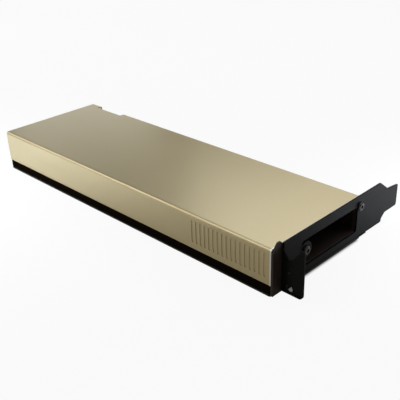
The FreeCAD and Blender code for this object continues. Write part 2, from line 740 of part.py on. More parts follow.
def make_end_frame():
    """Black moulded frame in the outlet: a plate behind the bracket and a sleeve in the cover."""
    body = new_body("end_frame")
    plate = [("0", "0.9"), ("width - 0.5", "0.9"), ("width - 0.5", "brackettop - 1.6"),
             ("flangeface + 1.5", "brackettop - 1.6"), ("flangeface", "brackettop + 0.6"),
             ("4.6", "brackettop + 0.6"), ("0", "brackettop - 4.2")]
    grow(body, "YZ", "length", BRACKET_IN, lambda s: outline(s, plate))
    gap = "(skin + 0.1)"
    sleeve, solid = grow(body, "YZ", "length - sleeve", "length + 0.5",
                         lambda s: rectangle(s, gap, "strip", "width - %s" % gap, "height - %s" % gap))
    round_corners(body, sleeve, [2, 3], "bend - skin")
    wall = "(skin + 0.1 + sleevewall)"
    cut(body, "YZ", "length - sleeve", "length - 1.5",
        lambda s: rectangle(s, wall, "strip + sleevewall", "width - %s" % wall, "height - %s" % wall))
    window, pocket = cut(body, "YZ", "length - 1.5", BRACKET_IN,
                         lambda s: rectangle(s, "windownear - 1.5", "windowlow + 0.6",
                                             "windowfar + 1", "windowtop + 0.5"))
    round_corners(body, window, [0, 1, 3], "2")
    round_corners(body, window, [2], "4")
    # bosses for the bracket's screws, one of them standing into the window
    grow(body, "YZ", "length - 9", BRACKET_IN, lambda s: circle(s, EAR[0], EAR[1], "earout + 1"))
    grow(body, "YZ", "length - 1.5", BRACKET_IN,
         lambda s: rectangle(s, "windownear - 2", EAR[1] + " - 4", EAR[0], EAR[1] + " + 4"))
    boss_y, boss_z = BRACKET_SCREWS[1]
    grow(body, "YZ", "length - 9", "length",
         lambda s: rectangle(s, boss_y + " - 2.8", boss_z + " - 3", boss_y + " + 2.2", boss_z + " + 3.4"))

    def holes(sketch):
        for y, z in BRACKET_SCREWS:
            screw_hole(sketch, y, z, "1.25")
    cut(body, "YZ", "length - 7", BRACKET_IN, holes)


def make_bracket():
    """Folded two-slot bracket: face with a window, flange with two screw notches, and tongue."""
    body = new_body("bracket")
    tip = "flangeface + bracketlength"
    face_points = [
        ("flangeface", "bracketlow"), ("9", "bracketlow"), ("10", "facefoot"), ("20", "facefoot"),
        ("22.5", "facelow"), ("108.8", "facelow"), ("109.2", "6"), ("113", "9.1"),
        (tip, "9.1"), (tip, "24.2"), ("114.5", "25.6"), ("105", "brackettop"),
        ("flangeface", "brackettop"),
    ]
    face, solid = grow(body, "YZ", BRACKET_IN, BRACKET_OUT, lambda s: outline(s, face_points))
    for corners, radius in (([5, 9, 11], "0.8"), ([6, 7, 10], "2"), ([8], "1.4")):
        round_corners(body, face, corners, radius)
    outer = BRACKET_OUT + " + flangereach"
    flange, solid = grow(body, "XZ", "flangeface", "flangeface + bracketsheet",
                         lambda s: rectangle(s, BRACKET_IN, "bracketlow", outer, "brackettop"))
    round_corners(body, flange, [1, 2], "3")
    fold, solid = block(body, BRACKET_IN, BRACKET_OUT, "flangeface", "flangeface + bracketsheet",
                        "bracketlow", "brackettop")
    round_corners(body, fold, [0], "bracketsheet + 0.2")
    round_corners(body, fold, [2], "0.4")
    window, pocket = cut(body, "YZ", BRACKET_IN, BRACKET_OUT,
                         lambda s: rectangle(s, "windownear", "windowlow", "windowfar", "windowtop"))
    round_corners(body, window, [0, 1, 3], "2")
    round_corners(body, window, [2], "4")
    cut(body, "XZ", "flangeface", "flangeface + bracketsheet", draw_notches)
    # round ear under the screw in the window
    grow(body, "YZ", BRACKET_IN, BRACKET_OUT, lambda s: circle(s, EAR[0], EAR[1], "earout + 1.5"))

    def holes(sketch):
        for y, z in BRACKET_SCREWS:
            screw_hole(sketch, y, z, "1.6")
    cut(body, "YZ", BRACKET_IN, BRACKET_OUT, holes)


def draw_notches(sketch):
    """The lower screw notch is closed, and the upper one is open at the flange's end."""
    across = BRACKET_OUT + " + notchout"
    slot(sketch, across, "notchlow - notchwide / 2", "notchlow + notchwide / 2 + 0.4", "notchwide")
    slot(sketch, across, "notchlow + notchpitch - notchwide / 2", "brackettop + 5", "notchwide")
    circle(sketch, across + " - 0.2", "notchlow + 9.8", "1")


def make_bracket_screws():
    group("bracket_screws", [pan_screw(BRACKET_OUT, y, z, "X", "2.8", "1.6", "1.25", "8")
                             for y, z in BRACKET_SCREWS])


# ---------------------------------------------------------------- build, check and write

def check(obj):
    """Stop if an object failed without raising."""
    if "Invalid" in obj.State or "Error" in obj.State:
        sys.exit("%s (%s) failed: %s" % (obj.Label, obj.Name, obj.State))


def main():
    make_cover()
    make_cover_screws()
    make_tail_block()
    make_tail_block_screws()
    make_backplate()
    make_insulating_sheet()
    make_standoffs()
    make_backplate_screws()
    make_base_frame()
    make_pcb()
    make_edge_contacts()
    make_processor()
    make_power_stage()
    make_heatsink_base()
    make_fin_stack()
    make_spring_plate()
    make_spring_screws()
    make_power_connector()
    make_power_pins()
    make_end_frame()
    make_bracket()
    make_bracket_screws()
    doc.recompute()
    for obj in doc.Objects:
        check(obj)
    for part in parts:
        if part.Shape.isNull() or not part.Shape.isValid():
            sys.exit("%s has no valid shape" % part.Label)
    os.makedirs("parts", exist_ok=True)
    for part in parts:
        part.Shape.exportStep("parts/%s.step" % part.Label)
        print("%-20s %4d solids %9.1f mm3" % (part.Label, len(part.Shape.Solids), part.Shape.Volume))


main()
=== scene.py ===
import math

import bmesh
import bpy
from mathutils import Matrix, Vector


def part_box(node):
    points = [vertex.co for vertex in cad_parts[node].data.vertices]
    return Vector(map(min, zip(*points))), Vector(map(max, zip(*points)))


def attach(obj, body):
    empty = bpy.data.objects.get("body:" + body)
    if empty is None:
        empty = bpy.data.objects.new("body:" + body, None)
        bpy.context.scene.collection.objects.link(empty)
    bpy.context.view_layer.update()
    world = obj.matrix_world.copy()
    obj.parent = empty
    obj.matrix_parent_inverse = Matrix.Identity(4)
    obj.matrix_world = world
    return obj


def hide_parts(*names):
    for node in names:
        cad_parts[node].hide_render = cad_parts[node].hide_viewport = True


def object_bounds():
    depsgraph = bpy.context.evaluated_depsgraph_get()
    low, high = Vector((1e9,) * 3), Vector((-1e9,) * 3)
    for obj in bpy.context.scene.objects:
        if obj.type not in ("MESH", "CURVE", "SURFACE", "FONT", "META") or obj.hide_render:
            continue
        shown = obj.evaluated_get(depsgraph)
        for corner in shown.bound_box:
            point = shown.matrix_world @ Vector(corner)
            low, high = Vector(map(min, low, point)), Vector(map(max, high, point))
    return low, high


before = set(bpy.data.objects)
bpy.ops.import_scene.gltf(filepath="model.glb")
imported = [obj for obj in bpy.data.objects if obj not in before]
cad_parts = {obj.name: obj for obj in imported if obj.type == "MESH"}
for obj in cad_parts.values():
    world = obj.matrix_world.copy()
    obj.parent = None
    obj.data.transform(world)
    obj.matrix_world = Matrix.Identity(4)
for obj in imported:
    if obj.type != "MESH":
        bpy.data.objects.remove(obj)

# A passive accelerator card on a pale floor: champagne sheet metal over a black base frame, with a
# black two-slot bracket at the outlet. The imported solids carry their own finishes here, and the
# fasteners and the board's small parts are modelled in full.

CAD_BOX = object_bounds()
MM = 0.001


# ---------------------------------------------------------------- shader graphs

class Wire:
    """One output of a shader graph. Arithmetic on wires and numbers adds Math nodes."""

    def __init__(self, graph, socket):
        self.graph = graph
        self.socket = socket

    def maths(self, operation, *values):
        return self.graph.add("ShaderNodeMath", {"operation": operation}, dict(enumerate(values)))

    def __add__(self, other):
        return self.maths("ADD", self, other)

    def __radd__(self, other):
        return self.maths("ADD", other, self)

    def __sub__(self, other):
        return self.maths("SUBTRACT", self, other)

    def __rsub__(self, other):
        return self.maths("SUBTRACT", other, self)

    def __mul__(self, other):
        return self.maths("MULTIPLY", self, other)

    def __rmul__(self, other):
        return self.maths("MULTIPLY", other, self)

    def __pow__(self, other):
        return self.maths("POWER", self, other)

    def __abs__(self):
        return self.maths("ABSOLUTE", self)

    def larger(self, other):
        """The larger of two values at each point."""
        return self.maths("MAXIMUM", self, other)

    def clamp(self):
        return self.graph.add("ShaderNodeClamp", {}, {0: self})

    def band(self, low, high):
        """0 below low, 1 above high, and a smooth step between them."""
        return self.graph.add("ShaderNodeMapRange", {"interpolation_type": "SMOOTHSTEP"},
                              {0: self, 1: low, 2: high})

    def within(self, low, high, soft):
        """1 between low and high, with a soft step of the given width inside each end."""
        return self.band(low, low + soft) * (1.0 - self.band(high - soft, high))


class Graph:
    """The node tree of a material or of the world."""

    def __init__(self, owner):
        owner.use_nodes = True
        self.tree = owner.node_tree
        self.tree.nodes.clear()

    def add(self, kind, settings, inputs, output=0):
        """Any node: its settings first, then the values or wires of its sockets."""
        node = self.tree.nodes.new(kind)
        for name, value in settings.items():
            setattr(node, name, value)
        for key, value in inputs.items():
            if isinstance(value, Wire):
                self.tree.links.new(value.socket, node.inputs[key])
            else:
                node.inputs[key].default_value = value
        return Wire(self, node.outputs[output])

    def mix(self, first, second, factor):
        """Mixes two colours."""
        return self.add("ShaderNodeMix", {"data_type": "RGBA"}, {0: factor, 6: first, 7: second}, 2)

    def place(self):
        """Where a point lies in the part's own frame, in metres."""
        return self.add("ShaderNodeTexCoord", {}, {}, "Object")

    def axis(self, index):
        """One coordinate of the part's own frame, in metres."""
        return self.add("ShaderNodeSeparateXYZ", {}, {0: self.place()}, index)

    def stretched(self, scale):
        """The part's own frame, stretched along its axes."""
        return self.add("ShaderNodeMapping", {}, {"Vector": self.place(), "Scale": scale})

    def noise(self, where, size, detail=2.0, roughness=0.5):
        """Soft noise from 0 to 1, with blotches of about the given size in metres."""
        return self.add("ShaderNodeTexNoise", {}, {"Vector": where, "Scale": 1.0 / size,
                                                   "Detail": detail, "Roughness": roughness})

    def bump(self, height, depth, normal=None):
        """A normal that follows a height from 0 to 1, depth metres deep."""
        inputs = {"Height": height, "Distance": depth, "Strength": 1.0}
        if normal:
            inputs["Normal"] = normal
        return self.add("ShaderNodeBump", {}, inputs)

    def soft_edges(self, radius):
        """A normal that rounds sharp edges."""
        return self.add("ShaderNodeBevel", {"samples": 6}, {"Radius": radius})

    def surface(self, **sockets):
        """A Principled shader on the output; names are the sockets' own, with _ for a space."""
        inputs = {name.replace("_", " "): value for name, value in sockets.items()}
        self.output(self.add("ShaderNodeBsdfPrincipled", {}, inputs))

    def output(self, shader, kind="ShaderNodeOutputMaterial"):
        node = self.tree.nodes.new(kind)
        self.tree.links.new(shader.socket, node.inputs["Surface"])


def colour(red, green, blue):
    return (red, green, blue, 1.0)


def new_graph(name):
    material = bpy.data.materials.new(name)
    return material, Graph(material)


# ---------------------------------------------------------------- finishes

# Depths of the grain on coatings and of the streaks on metal.
GRAIN_DEPTH = 0.02 * MM
STREAK_DEPTH = 0.01 * MM
PAD_GRAIN_DEPTH = 0.03 * MM

# Radius to which sharp edges look rounded.
SHEET_EDGE = 0.3 * MM
METAL_EDGE = 0.12 * MM
MOULDED_EDGE = 0.15 * MM

# The champagne coating, its clouds and its grain.
CHAMPAGNE = colour(0.590, 0.502, 0.300)
PALE_CHAMPAGNE = colour(0.630, 0.542, 0.336)
DEEP_CHAMPAGNE = colour(0.530, 0.430, 0.235)

# Painted highlight along the cover's cut end at the bracket; it fades in between these distances from
# the end.
CUT_END_HIGHLIGHT = colour(0.88, 0.86, 0.80)
HIGHLIGHT_START = 1.1 * MM
HIGHLIGHT_FULL = 0.7 * MM

# Below this height the bracket's coating is painted near black and made rougher: painted shade along
# its foot.
FOOT_SHADE_HEIGHT = 4.3 * MM
FOOT_SHADE_BLACK = colour(0.0012, 0.0012, 0.0011)

# Pale bar across each bulk capacitor: its middle from the capacitor's end, half its width, and half
# the width of its soft edge.
BAR_MIDDLE = 1.1 * MM
BAR_HALF = 0.6 * MM
BAR_SOFT = 0.05 * MM

PLATED_HOLE_PITCH = 3.1 * MM


def champagne_sheet():
    """Satin champagne-gold sheet: a fine grain along the card, faint clouds, a few soft rub marks, and
    a painted highlight along its cut end.
    """
    material, g = new_graph("champagne_sheet")
    grain = g.noise(g.stretched((0.30, 1.0, 1.0)), 0.35 * MM, 3.0, 0.6)
    cloud = g.noise(g.place(), 55 * MM)
    rubs = g.noise(g.stretched((0.12, 1.0, 1.0)), 2.2 * MM, 4.0, 0.65).band(0.60, 0.78)
    base = g.mix(CHAMPAGNE, PALE_CHAMPAGNE, cloud)
    base = g.mix(base, DEEP_CHAMPAGNE, 0.50 * grain)
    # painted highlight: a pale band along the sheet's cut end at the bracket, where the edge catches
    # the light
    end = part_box("cover")[1][0]
    end_highlight = g.axis(0).band(end - HIGHLIGHT_START, end - HIGHLIGHT_FULL)
    base = g.mix(base, CUT_END_HIGHLIGHT, end_highlight)
    rough = 0.24 + 0.09 * grain + 0.03 * cloud - 0.012 * rubs
    g.surface(Base_Color=base, Metallic=0.92, Roughness=rough,
              Normal=g.bump(grain, GRAIN_DEPTH, g.soft_edges(SHEET_EDGE)))
    return material


def coated_black(name, shade, roughness, specular, grain_size=0.6 * MM, foot_shade_below=None,
                 metallic=0.0):
    """Black coating on metal: fine speckle, faint clouds, and a few paler handling marks.

    Below the given height the coating is rougher and painted darker, as painted shade along the
    bracket's foot."""
    material, g = new_graph(name)
    speckle = g.noise(g.place(), grain_size, 3.0, 0.6)
    cloud = g.noise(g.place(), 20 * MM)
    marks = g.noise(g.stretched((0.25, 1.0, 1.0)), 1.8 * MM, 4.0, 0.7).band(0.64, 0.80)
    light = tuple(1.6 * part + 0.002 for part in shade)
    base = g.mix(colour(*shade), colour(*light), 0.5 * speckle + 0.2 * cloud + 0.3 * marks)
    rough = roughness + 0.10 * speckle - 0.05 * marks
    if foot_shade_below:
        # painted shade: below the given height the base colour is darkened towards black
        shaded_foot = 1.0 - g.axis(2).band(foot_shade_below - 0.3 * MM, foot_shade_below + 0.1 * MM)
        base = g.mix(base, FOOT_SHADE_BLACK, shaded_foot)
        rough = rough + 0.45 * shaded_foot
    g.surface(Base_Color=base, Roughness=rough, Metallic=metallic, Specular_IOR_Level=specular,
              Normal=g.bump(speckle, GRAIN_DEPTH, g.soft_edges(SHEET_EDGE)))
    return material


def bare_metal(name, shade, roughness, stretch, streak=0.4 * MM):
    """Rolled or ground metal with fine streaks one way."""
    material, g = new_graph(name)
    lines = g.noise(g.stretched(stretch), streak, 3.0, 0.6)
    dark = tuple(0.72 * part for part in shade)
    base = g.mix(colour(*shade), colour(*dark), 0.6 * lines)
    g.surface(Base_Color=base, Metallic=1.0, Roughness=roughness + 0.14 * lines,
              Normal=g.bump(lines, STREAK_DEPTH, g.soft_edges(METAL_EDGE)))
    return material


def moulded(name, shade, roughness, specular=0.4):
    """Moulded plastic or resin with a fine texture and faint flow clouds."""
    material, g = new_graph(name)
    grain = g.noise(g.place(), 0.5 * MM, 3.0, 0.65)
    flow = g.noise(g.stretched((0.4, 1.0, 1.0)), 8 * MM)
    light = tuple(1.35 * part + 0.002 for part in shade)
    base = g.mix(colour(*shade), colour(*light), 0.6 * grain + 0.4 * flow)
    g.surface(Base_Color=base, Metallic=0.0, Roughness=roughness + 0.12 * grain,
              Specular_IOR_Level=specular,
              Normal=g.bump(grain, GRAIN_DEPTH, g.soft_edges(MOULDED_EDGE)))
    return material


def board_laminate():
    """Black solder resist over copper tracks and pours, with small plated holes."""
    material, g = new_graph("board_laminate")
    tracks = g.add("ShaderNodeTexBrick", {"offset": 0.5, "squash": 0.7},
                   {"Vector": g.place(), "Color1": colour(1, 1, 1), "Color2": colour(0.75, 0.75, 0.75),
                    "Mortar": colour(0, 0, 0), "Scale": 1.0, "Mortar Size": 0.12 * MM,
                    "Brick Width": 4.2 * MM, "Row Height": 1.3 * MM})
    weave = g.noise(g.place(), 0.9 * MM)
    pour = g.noise(g.place(), 13 * MM, 1.0)
    from_hole = g.add("ShaderNodeTexVoronoi", {"voronoi_dimensions": "2D"},
                      {"Vector": g.place(), "Scale": 1.0 / PLATED_HOLE_PITCH, "Randomness": 0.85},
                      "Distance")
    hole = 1.0 - from_hole.band(0.075, 0.095)
    resist = g.mix(colour(0.008, 0.013, 0.010), colour(0.018, 0.028, 0.021), tracks)
    resist = g.mix(resist, colour(0.012, 0.017, 0.014), pour.band(0.45, 0.55))
    base = g.mix(resist, colour(0.50, 0.42, 0.24), 0.7 * hole)
    g.surface(Base_Color=base, Metallic=0.7 * hole, Roughness=0.30 + 0.15 * weave,
              Specular_IOR_Level=0.35, Normal=g.bump(weave - 0.6 * hole, STREAK_DEPTH))
    return material


def contact_gold():
    """Gold plating, wiped along the contacts."""
    material, g = new_graph("contact_gold")
    wipe = g.noise(g.stretched((1.0, 0.12, 1.0)), 0.4 * MM, 3.0)
    base = g.mix(colour(0.86, 0.62, 0.24), colour(0.70, 0.48, 0.17), wipe)
    g.surface(Base_Color=base, Metallic=1.0, Roughness=0.16 + 0.2 * wipe)
    return material


def polished_die():
    """Polished silicon with a faint haze."""
    material, g = new_graph("polished_die")
    haze = g.noise(g.place(), 4 * MM)
    base = g.mix(colour(0.075, 0.08, 0.10), colour(0.11, 0.10, 0.12), haze)
    g.surface(Base_Color=base, Metallic=0.6, Roughness=0.08 + 0.06 * haze)
    return material


def capacitor_resin():
    """Black moulded capacitors, each with a pale bar across one end."""
    material, g = new_graph("capacitor_resin")
    grain = g.noise(g.place(), 0.5 * MM, 3.0)
    along = g.axis(0)
    bar = 0.0
    for start in sorted({round(low.x, 5) for low, high in solids("bulk_capacitors")}):
        from_middle = abs(along - (start + BAR_MIDDLE))
        bar = bar + 1.0 - from_middle.band(BAR_HALF - BAR_SOFT, BAR_HALF + BAR_SOFT)
    base = g.mix(colour(0.022, 0.022, 0.024), colour(0.04, 0.04, 0.042), grain)
    base = g.mix(base, colour(0.42, 0.42, 0.40), bar.clamp())
    g.surface(Base_Color=base, Metallic=0.0, Roughness=0.45 + 0.1 * grain, Specular_IOR_Level=0.35)
    return material


def pad_silicone():
    """Soft grey pads with a dull grain."""
    material, g = new_graph("pad_silicone")
    grain = g.noise(g.place(), 0.8 * MM, 3.0)
    base = g.mix(colour(0.36, 0.39, 0.42), colour(0.288, 0.312, 0.336), grain)
    g.surface(Base_Color=base, Metallic=0.0, Roughness=0.75 + 0.1 * grain,
              Normal=g.bump(grain, PAD_GRAIN_DEPTH))
    return material


# Corners closer together than this are one corner.
SAME_POINT = 0.002 * MM


def solids(node):
    """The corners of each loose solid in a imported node, as (low, high), from the tail on."""
    cloud = bmesh.new()
    cloud.from_mesh(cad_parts[node].data)
    bmesh.ops.remove_doubles(cloud, verts=cloud.verts, dist=SAME_POINT)
    left = set(cloud.verts)
    boxes = []
    while left:
        front = [left.pop()]
        corners = []
        while front:
            vertex = front.pop()
            corners.append(vertex.co.copy())
            for edge in vertex.link_edges:
                other = edge.other_vert(vertex)
                if other in left:
                    left.remove(other)
                    front.append(other)
        low = Vector([min(corner[side] for corner in corners) for side in range(3)])
        high = Vector([max(corner[side] for corner in corners) for side in range(3)])
        boxes.append((low, high))
    cloud.free()
    return sorted(boxes, key=lambda box: tuple(box[0]))


def finishes():
    """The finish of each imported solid, by its node."""
    along_x = (0.06, 1.0, 1.0)
    along_z = (1.0, 1.0, 0.08)
    cast = coated_black("black_cast", (0.0042, 0.0026, 0.0012), 0.60, 0.0)
    steel = bare_metal("zinc_steel", (0.56, 0.56, 0.57), 0.30, along_z, 0.3 * MM)
    resin = moulded("chip_resin", (0.018, 0.018, 0.02), 0.5)
    die = polished_die()
    black_screw = coated_black("black_oxide", (0.060, 0.059, 0.058), 0.22, 0.5, 0.3 * MM, metallic=0.80)
    return {
        "cover": champagne_sheet(),
        "base_frame": cast,
        "tail_block": cast,
        "end_frame": moulded("black_moulding", (0.026, 0.018, 0.015), 0.42, 0.2),
        # the bracket carries painted shade along its foot, below the given height
        "bracket": coated_black("black_bracket_sheet", (0.0030, 0.0029, 0.0027), 0.30, 0.08,
                                0.5 * MM, FOOT_SHADE_HEIGHT),
        "backplate": coated_black("backplate_coating", (0.010, 0.010, 0.0105), 0.48, 0.3),
        "insulating_sheet": moulded("film", (0.02, 0.02, 0.02), 0.3),
        "standoffs": steel,
        "pcb": board_laminate(),
        "edge_contacts": contact_gold(),
        "package_substrate": moulded("package_laminate", (0.03, 0.11, 0.05), 0.4),
        "package_ring": steel,
        "processor_die": die,
        "memory_stacks": die,
        "coils": moulded("pressed_ferrite", (0.085, 0.085, 0.09), 0.6),
        "power_stages": resin,
        "controller_chips": resin,
        "bulk_capacitors": capacitor_resin(),
        "thermal_pads": pad_silicone(),
        "heatsink_base": bare_metal("nickel_plate", (0.62, 0.60, 0.57), 0.26, along_x),
        "fin_stack": bare_metal("rolled_aluminium", (0.62, 0.62, 0.63), 0.34, along_x),
        "spring_plate": steel,
        "power_connector": moulded("connector_nylon", (0.012, 0.012, 0.013), 0.42),
        "power_pins": bare_metal("tin_plate", (0.70, 0.68, 0.64), 0.25, along_x),
        "cover_screws": black_screw,
        "tail_block_screws": black_screw,
        "bracket_screws": black_screw,
        "backplate_screws": black_screw,
        "spring_screws": steel,
    }


def finish_solids(finish):
    """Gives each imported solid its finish."""
    for node, material in finish.items():
        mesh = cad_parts[node].data
        mesh.materials.clear()
        mesh.materials.append(material)


# ---------------------------------------------------------------- new pieces

# Edges that turn by more than this many degrees are shaded sharp.
SHARP_ANGLE = 35


def new_piece(name, mesh_maker, material, replaced=None):
    """Puts a mesh made by mesh_maker(bm) into the scene as a piece that rides on the card."""
    bm = bmesh.new()
    mesh_maker(bm)
    bmesh.ops.recalc_face_normals(bm, faces=bm.faces)
    mesh = bpy.data.meshes.new(name)
    bm.to_mesh(mesh)
    bm.free()
    for polygon in mesh.polygons:
        polygon.use_smooth = True
    mesh.set_sharp_from_angle(angle=math.radians(SHARP_ANGLE))
    mesh.materials.append(material)
    piece = bpy.data.objects.new(name, mesh)
    bpy.context.collection.objects.link(piece)
    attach(piece, "root")
    if replaced:
        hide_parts(replaced)


# Points round a screw, and the scallops of its recess.
RING_STEPS = 48
LOBES = 6
LOBE_DEPTH = 0.13


def ring(radius, height, lobe_depth=0.0):
    """Points around an axis; lobe_depth is the depth of the scallops as a share of the radius."""
    points = []
    for step in range(RING_STEPS):
        angle = 2.0 * math.pi * step / RING_STEPS
        reach = radius * (1.0 + lobe_depth * math.cos(LOBES * angle))
        points.append((reach * math.cos(angle), reach * math.sin(angle), height))
    return points


def add_rings(bm, rings, turn):
    """Skins a stack of closed rings, each a list of local points, and caps both ends."""
    made = [[bm.verts.new(turn @ Vector(point)) for point in points] for points in rings]
    for lower, upper in zip(made, made[1:]):
        count = len(lower)
        for step in range(count):
            following = (step + 1) % count
            bm.faces.new((lower[step], lower[following], upper[following], upper[step]))
    bm.faces.new(list(reversed(made[0])))
    bm.faces.new(made[-1])


# A head's outline from its seat up: the seat as a share of its radius, then for a dome pairs of a
# share of its radius and, measured down from its top, a share of its height. A flush head has a
# plain rim from such a share of its height up to a chamfer.
HEAD_SEAT = 0.97
DOME = ((1.0, 0.90), (1.0, 0.52), (0.965, 0.32), (0.89, 0.16), (0.76, 0.05), (0.60, 0.0))
FLUSH_RIM = 0.94
FLUSH_CHAMFER = 0.12 * MM

# The recess from its mouth down, as shares of the head's radius, and its depth as a share of the
# head's height.
RECESS_MOUTH = 0.43
RECESS_WALL = 0.41
RECESS_FLOOR = 0.40
RECESS_CENTRE = 0.10
RECESS_DEPTH = 0.62
RECESS_CHAMFER = 0.06 * MM
RECESS_DISH = 0.05 * MM

# The bevel at a screw's tip, which is never more than a share of the shank's radius.
TIP_BEVEL = 0.6 * MM
TIP_SHARE = 0.3


def add_screw(bm, low, high, way, head_high, shank, domed):
    """A six-lobed screw in the space from low to high; its head looks along way."""
    centre = (low + high) / 2.0
    side = max(range(3), key=lambda index: abs(way[index]))
    length = high[side] - low[side]
    head = (high - low)[(side + 1) % 3] / 2.0
    centre[side] = high[side] if way[side] > 0 else low[side]
    tip = min(TIP_BEVEL, TIP_SHARE * shank)
    profile = [(shank - tip, -length), (shank, -length + tip), (shank, -head_high),
               (HEAD_SEAT * head, -head_high)]
    if domed:
        profile += [(reach * head, -below * head_high) for reach, below in DOME]
    else:
        profile += [(head, -FLUSH_RIM * head_high), (head, -FLUSH_CHAMFER),
                    (head - FLUSH_CHAMFER, 0.0)]
    rings = [ring(radius, height) for radius, height in profile]
    depth = RECESS_DEPTH * head_high
    rings += [ring(RECESS_MOUTH * head, 0.0, LOBE_DEPTH),
              ring(RECESS_WALL * head, -RECESS_CHAMFER, LOBE_DEPTH),
              ring(RECESS_FLOOR * head, -depth, LOBE_DEPTH),
              ring(RECESS_CENTRE * head, -depth - RECESS_DISH)]
    turn = Matrix.Translation(centre) @ Vector(way).to_track_quat("Z", "Y").to_matrix().to_4x4()
    add_rings(bm, rings, turn)


def make_screws(finish):
    """Every screw with its head and recess in full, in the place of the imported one."""
    kinds = (
        # node, way its head looks, head height and shank radius in mm, domed, slot
        ("bracket_screws", (1, 0, 0), 1.6, 1.25, True, "screw_black"),
        ("cover_screws", (0, 1, 0), 1.2, 1.2, True, "screw_black"),
        ("tail_block_screws", (0, 1, 0), 1.2, 1.25, True, "screw_black"),
        ("backplate_screws", (0, 0, -1), 1.0, 1.2, False, "screw_black"),
        ("spring_screws", (0, 0, -1), 0.7, 1.45, False, "screw_steel"),
    )
    for node, way, head_high, shank, domed, slot in kinds:
        boxes = solids(node)

        def fill(bm):
            for low, high in boxes:
                add_screw(bm, low, high, way, head_high * MM, shank * MM, domed)

        new_piece(node.replace("_screws", "_lobed_screws"), fill, finish[node], node)


def add_block(bm, low, high, chamfer):
    """A block with all its edges chamfered."""
    made = bmesh.ops.create_cube(bm, size=1.0)["verts"]
    for vertex in made:
        for side in range(3):
            vertex.co[side] = high[side] if vertex.co[side] > 0 else low[side]
    edges = {edge for vertex in made for edge in vertex.link_edges}
    bmesh.ops.bevel(bm, geom=list(edges), offset=chamfer, segments=1, affect="EDGES")


# Gap between the insulating sheet and the board, and the board's thickness.
BOARD_GAP = 0.85 * MM
BOARD_THICK = 1.57 * MM

# A coupling capacitor, its tinned ends and the beads of solder against them.
CAPACITOR_LONG = 1.0 * MM
CAPACITOR_WIDE = 0.5 * MM
CAPACITOR_END = 0.24 * MM
BODY_CHAMFER = 0.02 * MM
END_CHAMFER = 0.04 * MM
BEAD_OUT = 0.08 * MM
BEAD_HALF = 0.10 * MM
BEAD_HIGH = 0.2 * MM
BEAD_CHAMFER = 0.08 * MM
# The body is this share of its ends in width and height, and a bead this share in width.
BODY_WIDE = 0.94
BODY_HIGH = 0.96
BEAD_WIDE = 0.9

# The pairs of capacitors along the contacts: the first one's distance from their tail end, the room
# left at their other end, the pitch, and half the distance between the two of a pair.
FIRST_PAIR = 8.0 * MM
LAST_PAIR = 2.0 * MM
PAIR_PITCH = 4.6 * MM
PAIR_HALF = 0.55 * MM


def capacitor_places():
    """Pairs of small capacitors on the board's open strip, beside the edge connector."""
    low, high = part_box("edge_contacts")
    board_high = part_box("insulating_sheet")[1][2] + BOARD_GAP + BOARD_THICK
    strip = (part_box("cover")[1][1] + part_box("backplate")[1][1]) / 2.0
    places = []
    x = low[0] + FIRST_PAIR
    while x < high[0] - LAST_PAIR:
        for shift in (-PAIR_HALF, PAIR_HALF):
            places.append(Vector((x + shift, strip, board_high)))
        x += PAIR_PITCH
    return places


def make_coupling_capacitors():
    """Ceramic bodies with tinned ends, and a small bead of solder at each end."""
    places = capacitor_places()
    half_long = CAPACITOR_LONG / 2.0
    half_wide = CAPACITOR_WIDE / 2.0
    half_end = CAPACITOR_END / 2.0

    def bodies(bm):
        reach = Vector((half_wide * BODY_WIDE, half_long - CAPACITOR_END, 0.0))
        rise = Vector((0, 0, CAPACITOR_WIDE * BODY_HIGH))
        for place in places:
            add_block(bm, place - reach, place + reach + rise, BODY_CHAMFER)

    def ends(bm):
        end_reach = Vector((half_wide, half_end, 0.0))
        end_rise = Vector((0, 0, CAPACITOR_WIDE))
        bead_reach = Vector((half_wide * BEAD_WIDE, BEAD_HALF, 0.0))
        bead_rise = Vector((0, 0, BEAD_HIGH))
        for place in places:
            for way in (-1, 1):
                middle = place + Vector((0, way * (half_long - half_end), 0))
                add_block(bm, middle - end_reach, middle + end_reach + end_rise, END_CHAMFER)
                bead = place + Vector((0, way * (half_long + BEAD_OUT), 0))
                add_block(bm, bead - bead_reach, bead + bead_reach + bead_rise, BEAD_CHAMFER)

    ceramic = moulded("ceramic", (0.20, 0.12, 0.07), 0.45)
    solder = bare_metal("solder_tin", (0.66, 0.66, 0.64), 0.28, (1, 1, 1), 0.2 * MM)
    new_piece("coupling_capacitor_bodies", bodies, ceramic)
    new_piece("coupling_capacitor_ends", ends, solder)


# ---------------------------------------------------------------- stage, light and camera

WHITE = colour(1, 1, 1)

# The floor's paint, the share of it that reads plain white to the eye, half the floor's side in
# metres, and the gap that keeps it clear of the card's underside.
FLOOR_PAINT = colour(0.82, 0.82, 0.81)
FLOOR_WHITE_SHARE = 0.92
FLOOR_HALF = 6.0
FLOOR_GAP = 0.2 * MM

# The patch of floor under the card that keeps its own shade: how far inside the near wall it starts,
# how far it runs past the cover's end, and the width of its soft rim. A strip of it runs a little
# further beside the bracket's flange.
SHADE_INSET = 10 * MM
SHADE_PAST_END = 3 * MM
SHADE_SOFT = 3 * MM
FLANGE_SHADE_PAST_END = 6.5 * MM
FLANGE_SHADE_WIDE = 10 * MM
FLANGE_SHADE_SOFT_ALONG = 1 * MM
FLANGE_SHADE_SOFT_ACROSS = 2 * MM


